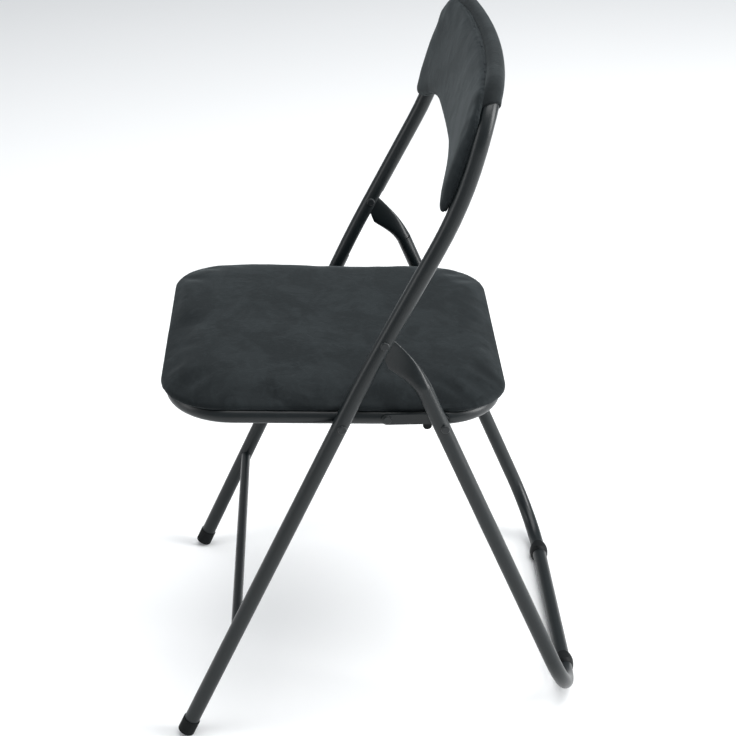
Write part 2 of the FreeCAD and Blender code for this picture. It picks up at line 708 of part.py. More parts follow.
def rounded_slab(name, half_x, front, rear, radius, base, thickness):
    """A body padded from a rounded rectangle, its half width and thickness bound to the sheet."""
    body = doc.addObject("PartDesign::Body", name)
    sketch = body.newObject("Sketcher::SketchObject", name + "_outline")
    plane = [p for p in body.Origin.OriginFeatures if p.Role == "XY_Plane"][0]
    sketch.AttachmentSupport = [(plane, "")]
    sketch.MapMode = "FlatFace"
    x = dim(half_x)
    places = [Vector(x, front + radius, 0), Vector(x, rear - radius, 0), Vector(x - radius, rear, 0),
              Vector(radius - x, rear, 0), Vector(-x, rear - radius, 0), Vector(-x, front + radius, 0),
              Vector(radius - x, front, 0), Vector(x - radius, front, 0)]
    centres = [Vector(x - radius, rear - radius, 0), Vector(radius - x, rear - radius, 0),
               Vector(radius - x, front + radius, 0), Vector(x - radius, front + radius, 0)]
    for side in range(4):
        sketch.addGeometry(Part.LineSegment(places[2 * side], places[2 * side + 1]), False)
        circle = Part.Circle(centres[side], Z_AXIS, radius)
        quarter = math.pi / 2
        sketch.addGeometry(Part.ArcOfCircle(circle, side * quarter, (side + 1) * quarter), False)
    for side in range(4):
        line, arc, after = 2 * side, 2 * side + 1, (2 * side + 2) % 8
        sketch.addConstraint(Sketcher.Constraint("Tangent", line, 2, arc, 1))
        sketch.addConstraint(Sketcher.Constraint("Tangent", arc, 2, after, 1))
    for line, kind in ((0, "Vertical"), (2, "Horizontal"), (4, "Vertical"), (6, "Horizontal")):
        sketch.addConstraint(Sketcher.Constraint(kind, line))
    for arc in (3, 5, 7):
        sketch.addConstraint(Sketcher.Constraint("Equal", 1, arc))
    sketch.addConstraint(Sketcher.Constraint("Radius", 1, radius))
    right_side = sketch.addConstraint(Sketcher.Constraint("DistanceX", -1, 1, 0, 1, x))
    sketch.setExpression(f"Constraints[{right_side}]", f"Dimensions.{half_x}")
    left_side = sketch.addConstraint(Sketcher.Constraint("DistanceX", 4, 1, -1, 1, x))
    sketch.setExpression(f"Constraints[{left_side}]", f"Dimensions.{half_x}")
    sketch.addConstraint(Sketcher.Constraint("DistanceY", -1, 1, 2, 1, rear))
    sketch.addConstraint(Sketcher.Constraint("DistanceY", 6, 1, -1, 1, -front))
    pad = body.newObject("PartDesign::Pad", name + "_pad")
    pad.Profile = sketch
    bind(pad, {"Length": thickness})
    frame = seat_frame()
    body.Placement = Placement(frame.multVec(Z_AXIS * base), frame.Rotation)
    doc.recompute()
    return body, pad


def build_seat_top():
    """The plywood board and the soft pad that wraps over its edges."""
    base = dim("tube_diameter") / 2
    overhang = dim("seat_pad_overhang")
    inset = dim("seat_pad_half_width") - dim("seat_board_half_width")
    front, rear = -dim("seat_tube_front") - overhang, dim("seat_tube_rear") + overhang
    radius = dim("seat_pad_corner_radius")
    board, _ = rounded_slab("seat_board_body", "seat_board_half_width", front + inset, rear - inset,
                            radius - inset, base, "D.seat_board_thickness")
    cushion, pad = rounded_slab("seat_pad_body", "seat_pad_half_width", front, rear, radius, base,
                                "D.seat_pad_thickness")
    rounding = cushion.newObject("PartDesign::Fillet", "seat_pad_rounded")
    top = dim("seat_pad_thickness")
    rims = [f"Edge{n}" for n, edge in enumerate(pad.Shape.Edges, start=1)
            if edge.BoundBox.ZMin > top - 1e-6]
    rounding.Base = (pad, rims)
    bind(rounding, {"Radius": "D.seat_pad_edge"})
    cushion.Tip = rounding
    normal = seat_frame().Rotation.multVec(Z_AXIS)
    depth = "D.tube_diameter / 2 + D.seat_board_thickness - D.screw_tip_cover / 2"
    bores = screw_bores("seat_board_bore", seat_frame(), seat_screw_points(), normal, depth)
    node(boolean("Cut", "seat_board_drilled", board, bores), "seat_board")
    node(boolean("Cut", "seat_pad_fitted", cushion, board), "seat_pad")


def screw_bores(name, frame, points, direction, depth):
    """The holes for a board's screws, from the tube's middle."""
    return fused(name + "s", [cylinder(f"{name}_{n}", "D.screw_radius + D.screw_play", depth,
                                       frame.multVec(p), direction) for n, p in enumerate(points)])


def screw(name, middle, direction, seat, reach):
    """A pan head screw: its head inside the tube, its shank through the wall into a board."""
    head_at = middle + direction * dim(seat)
    shank = doc.addObject("Part::Cylinder", name + "_shank")
    bind(shank, {"Radius": "D.screw_radius", "Height": reach})
    shank.Placement = Placement(head_at, Rotation(Z_AXIS, direction))
    head = domed_head(name + "_head", "D.screw_head_radius", "D.screw_head_height", head_at, -direction)
    return fused(name, [shank, head])


def build_seat_screws():
    """Screws up through the loop to the underside of the board."""
    frame = seat_frame()
    normal = frame.Rotation.multVec(Z_AXIS)
    reach = "D.tube_diameter / 2 - D.screw_head_seat + D.seat_board_thickness - D.screw_tip_cover"
    screws = [screw(f"seat_screw_{n}", frame.multVec(p), normal, "screw_head_seat", reach)
              for n, p in enumerate(seat_screw_points())]
    node(grouped("seat_screw_set", screws), "seat_screws")


# --- backrest ------------------------------------------------------------------------------------

def backrest_outline(inset):
    """The backrest seen square on: arched top, round corners, and a lower edge hollowed upward."""
    x = dim("backrest_half_width") - inset
    top, shoulder = dim("backrest_top") - inset, dim("backrest_shoulder") - inset
    corner = dim("backrest_corner_radius") - inset
    tip, hollow = inset - dim("backrest_tip_drop"), inset - dim("backrest_hollow_drop")
    crown = Part.Arc(Vector(corner - x + 2, 0, shoulder), Vector(0, 0, top),
                     Vector(x - corner - 2, 0, shoulder)).toShape()
    halves = [crown]
    for side in (1, -1):
        bend = corner * (1 - math.sqrt(0.5))
        upper = Part.Arc(Vector(side * (x - corner - 2), 0, shoulder),
                         Vector(side * (x - bend), 0, shoulder - bend - 1),
                         Vector(side * x, 0, shoulder - corner - 4)).toShape()
        flank = Part.makeLine(Vector(side * x, 0, shoulder - corner - 4), Vector(side * x, 0, tip + 17))
        low = Part.Arc(Vector(side * x, 0, tip + 17), Vector(side * (x - 4), 0, tip + 5),
                       Vector(side * (x - 15), 0, tip)).toShape()
        curve = Part.BSplineCurve()
        curve.interpolate([Vector(side * (x - 15), 0, tip), Vector(side * (x - 45), 0, tip + 8),
                           Vector(side * (x - 82), 0, tip + 24), Vector(side * (x - 125), 0, hollow - 0.5),
                           Vector(0, 0, hollow)])
        halves += [upper, flank, low, curve.toShape()]
    return Part.Wire(Part.__sortEdges__(halves))


def bowed_slab(name, inset, rear_gap, rim, crown):
    """A panel of the outline, bowed like the arch, this thick at its sides and in its middle."""
    bow = dim("backrest_bow")
    x = dim("backrest_half_width") + 5
    deep = 60.0
    outline = Part.Face(backrest_outline(inset)).extrude(Vector(0, 2 * deep, 0))
    outline.translate(Vector(0, -deep, 0))
    rear = Part.Arc(Vector(-x, -rear_gap, 0), Vector(0, bow - rear_gap, 0),
                    Vector(x, -rear_gap, 0)).toShape()
    front = Part.Arc(Vector(-x, -rear_gap - rim, 0), Vector(0, bow - rear_gap - crown, 0),
                     Vector(x, -rear_gap - rim, 0)).toShape()
    ends = [Part.makeLine(Vector(side * x, -rear_gap, 0), Vector(side * x, -rear_gap - rim, 0))
            for side in (1, -1)]
    section = Part.Face(Part.Wire(Part.__sortEdges__([rear, front] + ends)))
    section.translate(Vector(0, 0, -deep * 2))
    slab = section.extrude(Vector(0, 0, deep * 4))
    item = doc.addObject("Part::Feature", name)
    item.Shape = outline.common(slab).Solids[0]
    item.Placement = back_frame()
    return item


SLEEVE_EDGES = (5, 9)


def build_backrest(route):
    """Board, pad, screws and the fabric sleeve over the arch."""
    gap = dim("backrest_rear_gap")
    thickness = dim("backrest_board_thickness")
    board = bowed_slab("backrest_board_panel", dim("backrest_board_inset"), gap, thickness, thickness)
    pad = bowed_slab("backrest_pad_block", 0, gap, dim("backrest_rim_thickness"),
                     dim("backrest_crown_thickness"))
    points = front_route_points()
    relief = swept("arch_relief", route, "D.tube_diameter / 2 + D.sleeve_thickness + D.sleeve_play",
                   points[0], (points[1] - points[0]).normalize())
    board = boolean("Cut", "backrest_board_relieved", board, relief)
    pad = boolean("Cut", "backrest_pad_relieved", pad, relief)
    frame = back_frame()
    forward = frame.Rotation.multVec(Vector(0, -1, 0))
    depth = "D.back_head_seat + D.back_screw_reach + D.screw_tip_cover / 2"
    bores = screw_bores("back_board_bore", frame, back_screw_points(), forward, depth)
    node(boolean("Cut", "backrest_board_drilled", board, bores), "backrest_board")
    node(boolean("Cut", "backrest_pad_fitted", pad, board), "backrest_pad")
    screws = [screw(f"back_screw_{n}", frame.multVec(p), forward, "back_head_seat",
                    "D.back_screw_reach") for n, p in enumerate(back_screw_points())]
    node(grouped("back_screw_set", screws), "backrest_screws")
    edges = route.Shape.OrderedEdges
    first, last = SLEEVE_EDGES
    corner, far_corner = edges[first], edges[last]
    share = dim("sleeve_hem_share")
    hem = corner.getParameterByLength(share * corner.Length)
    far_hem = far_corner.getParameterByLength((1 - share) * far_corner.Length)
    part_edges = [corner.Curve.toShape(hem, corner.LastParameter)] + edges[first + 1:last]
    part_edges.append(far_corner.Curve.toShape(far_corner.FirstParameter, far_hem))
    sleeve_route = route_object("sleeve_route", Part.Wire(part_edges))
    start, direction = corner.valueAt(hem), corner.tangentAt(hem)
    outer = swept("sleeve_outer", sleeve_route, "D.tube_diameter / 2 + D.sleeve_thickness", start,
                  direction)
    inner = swept("sleeve_inner", sleeve_route, "D.tube_diameter / 2", start, direction)
    node(boolean("Cut", "sleeve", outer, inner), "backrest_sleeve")


def check_and_write():
    """Stop on any failed object or bad shape, then write one file for each sub-part."""
    doc.recompute()
    for item in doc.Objects:
        if "Invalid" in item.State or "Error" in item.State:
            raise RuntimeError(f"{item.Name} failed: {item.State}")
    for item in nodes:
        if item.Shape.isNull() or not item.Shape.isValid() or item.Shape.Volume <= 0:
            raise RuntimeError(f"{item.Label} has a bad shape")
    for item in nodes:
        item.Shape.exportStep(f"parts/{item.Label}.step")
        box = item.Shape.BoundBox
        print(f"{item.Label}: {len(item.Shape.Solids)} solids, {item.Shape.Volume:.0f} mm3, "
              f"x {box.XMin:.1f}..{box.XMax:.1f} y {box.YMin:.1f}..{box.YMax:.1f} "
              f"z {box.ZMin:.1f}..{box.ZMax:.1f}")


front_outer, front_route = build_front_tube()
build_crossbar(front_outer)
build_foot_cap()
build_pivots()
build_rear_tube()
build_glide()
build_link_pins()
build_links()
build_seat_tube()
build_seat_top()
build_seat_screws()
build_backrest(front_route)
check_and_write()
for label, point in (("main", main_pivot), ("seat", seat_pivot), ("link", link_pivot),
                     ("link joint", link_joint)):
    print(f"{label} pivot: y {point.y:.3f} z {point.z:.3f}")
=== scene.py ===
import json
import math

import bmesh
import bpy
from mathutils import Matrix, Vector, bvhtree, kdtree, noise


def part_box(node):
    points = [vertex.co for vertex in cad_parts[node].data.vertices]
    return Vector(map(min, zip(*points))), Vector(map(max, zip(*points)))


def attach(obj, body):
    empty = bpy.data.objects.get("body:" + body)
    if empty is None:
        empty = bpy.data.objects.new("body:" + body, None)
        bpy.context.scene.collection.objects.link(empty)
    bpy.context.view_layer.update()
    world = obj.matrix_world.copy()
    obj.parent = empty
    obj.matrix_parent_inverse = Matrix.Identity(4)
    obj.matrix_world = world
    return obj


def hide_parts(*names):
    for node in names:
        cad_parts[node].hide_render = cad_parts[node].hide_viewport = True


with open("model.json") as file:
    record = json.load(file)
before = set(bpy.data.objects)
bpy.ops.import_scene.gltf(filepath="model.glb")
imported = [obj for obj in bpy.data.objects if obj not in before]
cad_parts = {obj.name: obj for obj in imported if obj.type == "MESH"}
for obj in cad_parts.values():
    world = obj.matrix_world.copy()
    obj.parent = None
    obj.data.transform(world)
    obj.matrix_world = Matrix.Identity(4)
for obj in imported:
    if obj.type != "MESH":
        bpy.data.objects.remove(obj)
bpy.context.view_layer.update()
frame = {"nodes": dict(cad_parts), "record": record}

MM = 0.001
nodes = frame["nodes"]

# How far the seat drops to the rear and the backrest leans back, in degrees.
SEAT_LEAN = 3.9
BACK_LEAN = 19.2

# The seat's and the backrest's own axes: x across, y to the rear, z up from the panel or along it.
seat_axes = (Matrix.Translation((0, -0.02898, 0.4246))
             @ Matrix.Rotation(math.radians(-SEAT_LEAN), 4, "X"))
back_axes = (Matrix.Translation((0, 0.1242, 0.727))
             @ Matrix.Rotation(math.radians(-BACK_LEAN), 4, "X"))

# Seat pad, in the seat's axes.
SEAT_HALF = 199 * MM
SEAT_FRONT, SEAT_REAR = -211 * MM, 195.3 * MM
SEAT_CORNER = 72 * MM
SEAT_BASE = 9.5 * MM
SEAT_WALL = 12.5 * MM
SEAT_CROWN = 6 * MM
SEAT_ROUNDING, SEAT_VOXEL = 5 * MM, 5 * MM
SEAT_SWELL = 5 * MM

# Backrest pad, in the backrest's axes.
BACK_HALF = 222 * MM
BACK_CURL = 3 * MM
BACK_REAR = -12.2 * MM
BACK_RIM = 7 * MM
BACK_CROWN = 3.6 * MM
BACK_BOW = 14 * MM
BACK_BOARD = 4 * MM
BACK_ROUNDING, BACK_VOXEL = 5 * MM, 3 * MM
BACK_SWELL = 1.6 * MM
BACK_OVERHANG = 3 * MM

# Air pressure of the stuffing, in the cloth simulation's own unit.
STUFFING = 4
STUFFING_FRAMES = 20

TUBE_RADIUS = 9.5 * MM
FLANK_MIDDLE = 215.5 * MM

# Centre line of the arch over the backrest, from one flank to the other, and its bend radii.
ARCH_CORNERS = ((215.5, 113.68, 686.5), (215.5, 146.369, 800.5), (0, 173.593, 800.5),
                (-215.5, 146.369, 800.5), (-215.5, 113.68, 686.5))
ARCH_RADII = (60 * MM, 1200 * MM, 60 * MM)
SLEEVE_SIDES = 32
SLEEVE_THICKNESS = 0.95 * MM
HEM_TILT = 0.62
HEM_WIDTH = 7 * MM
# Which of the sleeve's sides carries its seam, behind the tube.
SEAM_SIDE = 9

VELVET_SHEEN = 0.1


# ---------------------------------------------------------------- helpers for meshes

def alone(item):
    """Only this object is selected and active."""
    bpy.ops.object.select_all(action="DESELECT")
    item.select_set(True)
    bpy.context.view_layer.objects.active = item


def piece_from(name, mesh_maker):
    """A new object whose mesh is filled in by mesh_maker, which gets an empty bmesh."""
    mesh = bpy.data.meshes.new(name)
    made = bmesh.new()
    mesh_maker(made)
    bmesh.ops.recalc_face_normals(made, faces=made.faces)
    made.to_mesh(mesh)
    made.free()
    item = bpy.data.objects.new(name, mesh)
    bpy.context.scene.collection.objects.link(item)
    return item


def apply_all(item):
    """Every modifier of the object is applied, in order."""
    alone(item)
    for modifier in list(item.modifiers):
        bpy.ops.object.modifier_apply(modifier=modifier.name)


def smooth(item):
    item.data.polygons.foreach_set("use_smooth", [True] * len(item.data.polygons))
    item.data.update()


def ease(t):
    """0 below 0, 1 above 1, smooth in between."""
    t = min(max(t, 0.0), 1.0)
    return t * t * (3 - 2 * t)


def fade(distance, reach):
    """1 at an edge, falling away from it over about the reach."""
    return math.exp(-distance / reach)


def ridge(place, middle, width):
    """1 at the middle, 0 well away from it."""
    return math.exp(-((place - middle) / width) ** 2)


def arc(centre, radius, start, turn, count):
    """Points of a flat arc, angles in degrees, without its last point."""
    angles = [math.radians(start + turn * i / count) for i in range(count)]
    return [(centre[0] + radius * math.cos(a), centre[1] + radius * math.sin(a)) for a in angles]


def evenly(points, step):
    """The same closed line with its points about one step apart, corners kept."""
    out = []
    for (ax, ay), (bx, by) in zip(points, points[1:] + points[:1]):
        count = max(1, round(math.hypot(bx - ax, by - ay) / step))
        out += [(ax + (bx - ax) * i / count, ay + (by - ay) * i / count) for i in range(count)]
    return out


def curve_through(points, count):
    """A smooth open line through flat points, as a Catmull-Rom spline, without its last point."""
    ends = [points[0]] + points + [points[-1]]
    out = []
    for a, b, c, d in zip(ends, ends[1:], ends[2:], ends[3:]):
        for i in range(count):
            t = i / count
            out.append(tuple(
                0.5 * (2 * q + (r - p) * t + (2 * p - 5 * q + 4 * r - s) * t * t
                       + (3 * q - p - 3 * r + s) * t ** 3)
                for p, q, r, s in zip(a, b, c, d)))
    return out


# ---------------------------------------------------------------- padded pieces

def seat_outline(inset=0.0):
    x, radius = SEAT_HALF - inset, SEAT_CORNER - inset
    front, rear = SEAT_FRONT + inset, SEAT_REAR - inset
    line = arc((x - radius, rear - radius), radius, 0, 90, 14)
    line += arc((radius - x, rear - radius), radius, 90, 90, 14)
    line += arc((radius - x, front + radius), radius, 180, 90, 14)
    line += arc((x - radius, front + radius), radius, 270, 90, 14)
    return line


def back_outline(inset=0.0):
    """The backrest seen square on, as (x, z): arched top, round shoulders, hollow lower edge."""
    x = BACK_HALF - inset
    top, shoulder = 88 * MM - inset, 80 * MM - inset
    tip, hollow = -63 * MM + inset, -30 * MM + inset
    corner = 50 * MM - inset
    half = [(0, top), (0.45 * x, top - 1.6 * MM), (x - corner, shoulder)]
    half += arc((x - corner, shoulder - corner), corner, 78, -66, 6)
    half += [(x, shoulder - corner - 14 * MM), (x - 1 * MM, tip + 30 * MM),
             (x - 4 * MM, tip + 13 * MM), (x - 10 * MM, tip + 3 * MM), (x - 19 * MM, tip),
             (x - 30 * MM, tip + 2.5 * MM), (x - 52 * MM, tip + 11 * MM),
             (x - 84 * MM, tip + 24 * MM), (x - 125 * MM, hollow - 1 * MM),
             (0.25 * x, hollow), (0, hollow)]
    line = curve_through(half, 6)
    return line + [(-px, pz) for px, pz in reversed(line[1:])]


def edge_finder(outline):
    """A function that gives the outline's point nearest to a flat point, and how far off it is."""
    points = evenly(outline, 1.5 * MM)
    tree = kdtree.KDTree(len(points))
    for i, (px, py) in enumerate(points):
        tree.insert((px, py, 0), i)
    tree.balance()

    def find(px, py):
        nearest, _, away = tree.find((px, py, 0))
        return nearest, away
    return find


def slab(name, outline, low, high, rounding, voxel):
    """A closed block of even small faces: the outline from low to high, its top edge rounded."""
    def fill(made):
        ring = [made.verts.new((px, py, low)) for px, py in evenly(outline, 6 * MM)]
        base = made.faces.new(ring)
        top = bmesh.ops.extrude_face_region(made, geom=[base])["geom"]
        risen = [part for part in top if isinstance(part, bmesh.types.BMVert)]
        bmesh.ops.translate(made, verts=risen, vec=(0, 0, high - low))
        rim = [part for part in top if isinstance(part, bmesh.types.BMEdge)]
        bmesh.ops.bevel(made, geom=rim, offset=rounding, segments=4, profile=0.5, affect="EDGES")
    item = piece_from(name, fill)
    remesh = item.modifiers.new("even_faces", "REMESH")
    remesh.mode = "VOXEL"
    remesh.voxel_size = voxel
    apply_all(item)
    return item


def puff(item, held, cap, slack):
    """Inflates the item as stuffed cloth from the points that held gives 1 for, by at most cap."""
    group = item.vertex_groups.new(name="held")
    for vertex in item.data.vertices:
        group.add([vertex.index], held(vertex.co), "REPLACE")
    before = [vertex.co.copy() for vertex in item.data.vertices]
    cloth = item.modifiers.new("stuffing", "CLOTH")
    cloth.settings.quality = 6
    cloth.settings.mass = 0.25
    cloth.settings.tension_stiffness = 18
    cloth.settings.compression_stiffness = 12
    cloth.settings.shear_stiffness = 6
    cloth.settings.bending_stiffness = 0.6
    cloth.settings.use_pressure = True
    cloth.settings.uniform_pressure_force = STUFFING
    cloth.settings.shrink_min = -slack
    cloth.settings.vertex_group_mass = "held"
    cloth.settings.pin_stiffness = 2
    cloth.settings.effector_weights.gravity = 0
    cloth.collision_settings.use_collision = False
    for number in range(1, STUFFING_FRAMES + 1):
        bpy.context.scene.frame_set(number)
    apply_all(item)
    for vertex, start in zip(item.data.vertices, before):
        moved = vertex.co - start
        if moved.length > cap:
            vertex.co = start + moved * (cap / moved.length)
    item.vertex_groups.clear()
    bpy.context.scene.frame_set(1)


def relax(item, turns):
    """Evens out small roughness without shrinking the whole."""
    alone(item)
    modifier = item.modifiers.new("evened", "SMOOTH")
    modifier.iterations = turns
    modifier.factor = 0.5
    apply_all(item)


def refine(item):
    modifier = item.modifiers.new("refined", "SUBSURF")
    modifier.levels = modifier.render_levels = 1
    apply_all(item)
    smooth(item)


def crown(item, base, wall, rise, edge, reach):
    """Lifts the item's upper side by up to rise, towards its middle."""
    for vertex in item.data.vertices:
        x, y, z = vertex.co
        _, inside = edge(x, y)
        vertex.co.z += (z - base) / wall * rise * (1 - fade(inside, reach))


def build_seat_pad():
    """Made lying flat, stuffed, and drawn down over the board's edge; handled velvet is uneven."""
    pad = slab("seat_cushion", seat_outline(0.8 * MM), SEAT_BASE, SEAT_BASE + SEAT_WALL,
               SEAT_ROUNDING, SEAT_VOXEL)
    edge = edge_finder(seat_outline())
    crown(pad, SEAT_BASE, SEAT_WALL, SEAT_CROWN, edge, 45 * MM)
    puff(pad, lambda co: 1.0 if co.z < SEAT_BASE + 1.5 * MM else 0.0, SEAT_SWELL, 0.01)
    relax(pad, 9)
    for vertex in pad.data.vertices:
        x, y, z = vertex.co
        height = z - SEAT_BASE
        nearest, inside = edge(x, y)
        if height < 1.2 * MM:
            vertex.co.z = SEAT_BASE - 0.2 * MM
        pull = (1 - ease((height - 5 * MM) / (5 * MM))) * (1 - ease((inside - 6 * MM) / (5 * MM)))
        vertex.co.x += (nearest.x - x) * pull
        vertex.co.y += (nearest.y - y) * pull
        rim = fade(inside, 14 * MM) * ease((height - 5 * MM) / (4 * MM))
        wave = noise.noise(Vector((x, y, 0)) * 38) * 0.9 + noise.noise(Vector((x, y, 3)) * 90) * 0.4
        body = noise.noise(Vector((x, y, 7)) * 11) * ease((height - 3 * MM) / (4 * MM))
        vertex.co.z += (wave * rim * 0.5 + body * (1 - rim) * 0.9) * MM
        vertex.co += Vector((x, y, 0)).normalized() * wave * rim * 0.5 * MM
    refine(pad)
    pad.data.transform(seat_axes)
    return pad


def bow(co):
    """The backrest's flat shape, as x, depth, height, bent round the sitter's back."""
    spread = FLANK_MIDDLE + 7 * MM
    curl = BACK_CURL * ease((abs(co.x) - FLANK_MIDDLE + 7 * MM) / (14 * MM))
    return Vector((co.x, co.y + BACK_BOW * (1 - (co.x / spread) ** 2) + curl, co.z))


def build_back_pad():
    """Made lying flat, stuffed, stood up, and then bowed."""
    pad = slab("backrest_cushion", back_outline(0.6 * MM), -BACK_REAR, -BACK_REAR + BACK_RIM,
               BACK_ROUNDING, BACK_VOXEL)
    edge = edge_finder(back_outline())
    crown(pad, -BACK_REAR, BACK_RIM, BACK_CROWN, edge, 12 * MM)
    puff(pad, lambda co: 1.0 if co.z < -BACK_REAR + 1.2 * MM else 0.0, BACK_SWELL, 0)
    relax(pad, 12)
    for vertex in pad.data.vertices:
        x, y, z = vertex.co
        _, inside = edge(x, y)
        rim = fade(inside, 9 * MM)
        wave = noise.noise(Vector((x, y, 1)) * 55) + 0.6 * noise.noise(Vector((x, y, 5)) * 120)
        body = noise.noise(Vector((x, y, 9)) * 16)
        lift = ease((z + BACK_REAR) / (3 * MM))
        vertex.co.z += lift * (wave * rim * 0.25 + body * (1 - rim) * 0.7) * MM
        vertex.co += Vector((x, y * 2.5, 0)).normalized() * wave * rim * 0.28 * MM
        x, y, z = vertex.co
        vertex.co = bow(Vector((x, -z, y)))
    refine(pad)
    pad.data.transform(back_axes)
    return pad


def flank_front():
    """A function that gives how far forward the bare flank comes at a height."""
    tube = nodes["front_frame_tube"]
    to_back = back_axes.inverted() @ tube.matrix_world
    tree = bvhtree.BVHTree.FromPolygons([to_back @ vertex.co for vertex in tube.data.vertices],
                                        [tuple(face.vertices) for face in tube.data.polygons])

    def find(height):
        hit = tree.ray_cast(Vector((FLANK_MIDDLE, -60 * MM, height)), Vector((0, 1, 0)))[0]
        return hit.y if hit else BACK_REAR
    return find


def build_back_lining():
    """The cloth-covered panel behind the backrest pad; its sides thicken to meet the flanks."""
    thick = BACK_BOARD
    panel = slab("backrest_lining", back_outline(BACK_OVERHANG), 0, thick, 1 * MM, 1.8 * MM)
    edge = edge_finder(back_outline(BACK_OVERHANG))
    front = flank_front()
    for vertex in panel.data.vertices:
        x, y, z = vertex.co
        hem = ridge(edge(x, y)[1], 9 * MM, 1.6 * MM)
        vertex.co = bow(Vector((x, BACK_REAR - thick + 0.7 * MM + z, y)))
        if z > 0.4 * thick:
            beside = ease((abs(x) - 192 * MM) / (10 * MM)) * ease((48 * MM - y) / (12 * MM))
            slit = max(front(y) - 0.15 * MM - vertex.co.y, 0)
            vertex.co.y += slit * beside - 0.5 * MM * hem * (1 - beside)
    smooth(panel)
    panel.data.transform(back_axes)
    return panel


def round_section(count):
    """Unit offsets round a tube's section."""
    return [(math.cos(2 * math.pi * i / count), math.sin(2 * math.pi * i / count))
            for i in range(count)]


def bent_line(points, radii, step):
    """Straight runs through 3D points with tangent arcs of these radii, sampled evenly."""
    line = [points[0]]
    for before, corner, after, radius in zip(points, points[1:], points[2:], radii):
        back, ahead = (before - corner).normalized(), (after - corner).normalized()
        half = (math.pi - back.angle(ahead)) / 2
        centre = corner + (back + ahead).normalized() * radius / math.cos(half)
        first = corner + back * radius * math.tan(half) - centre
        axis = back.cross(ahead).normalized()
        count = max(3, round(2 * half * radius / step))
        line += [centre + Matrix.Rotation(-2 * half * i / count, 3, axis) @ first
                 for i in range(count + 1)]
    line.append(points[-1])
    out = []
    for a, b in zip(line, line[1:]):
        count = max(1, round((b - a).length / step))
        out += [a.lerp(b, i / count) for i in range(count)]
    return out + [line[-1]]


def sleeve_rings(line):
    """Outer and inner rings of points along the line, level with each other at the hems."""
    travelled = [0.0]
    for a, b in zip(line, line[1:]):
        travelled.append(travelled[-1] + (b - a).length)
    outer_rings, inner_rings = [], []
    up_hint = back_axes.to_3x3() @ Vector((0, 1, 0))
    for i, point in enumerate(line):
        ahead = (line[min(i + 1, len(line) - 1)] - line[max(i - 1, 0)]).normalized()
        across = ahead.cross(up_hint).normalized()
        behind = across.cross(ahead)
        from_end = min(travelled[i], travelled[-1] - travelled[i])
        tilt = HEM_TILT * (1 - ease(from_end / (30 * MM)))
        upward = ahead if travelled[i] < travelled[-1] / 2 else -ahead
        hem = 0.25 * MM * (1 - ease((from_end - HEM_WIDTH) / (1.5 * MM)))
        stitch = 0.3 * MM * ridge(from_end, HEM_WIDTH + 0.5 * MM, 0.9 * MM)
        rings = ([], [])
        for n, (a, b) in enumerate(round_section(SLEEVE_SIDES)):
            radial = across * a + behind * b
            slope = upward * tilt * (radial.dot(Vector((0, 1, 0)))) * TUBE_RADIUS
            ripple = noise.noise(Vector((travelled[i] * 40, a * 1.3, b * 1.3))) * 0.12 * MM
            seam = 0.35 * MM * ridge(n, SEAM_SIDE, 0.8)
            radius = TUBE_RADIUS + SLEEVE_THICKNESS + ripple + hem - stitch + seam
            rings[0].append(point + radial * radius + slope)
            rings[1].append(point + radial * (TUBE_RADIUS + 0.12 * MM) + slope)
        outer_rings.append(rings[0])
        inner_rings.append(rings[1])
    return outer_rings, inner_rings, travelled[-1]


def build_sleeve():
    """The sewn velvet sleeve drawn over the arch: a seam behind and a level hem at each end."""
    corners = [Vector(corner) * MM for corner in ARCH_CORNERS]
    low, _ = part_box("backrest_sleeve")
    whole = bent_line(corners, ARCH_RADII, 3 * MM)
    line = [p for p in whole if p.z > low.z + 5.5 * MM]
    outer, inner, length = sleeve_rings(line)

    def fill(made):
        walls = [[[made.verts.new(p) for p in ring] for ring in rings] for rings in (outer, inner)]
        for wall in walls:
            for one, two in zip(wall, wall[1:]):
                for n in range(SLEEVE_SIDES):
                    m = (n + 1) % SLEEVE_SIDES
                    made.faces.new((one[n], one[m], two[m], two[n]))
        for end in (0, -1):
            for n in range(SLEEVE_SIDES):
                m = (n + 1) % SLEEVE_SIDES
                outside, inside = walls[0][end], walls[1][end]
                made.faces.new((outside[n], outside[m], inside[m], inside[n]))
    sleeve = piece_from("arch_sleeve", fill)
    smooth(sleeve)
    return sleeve, length


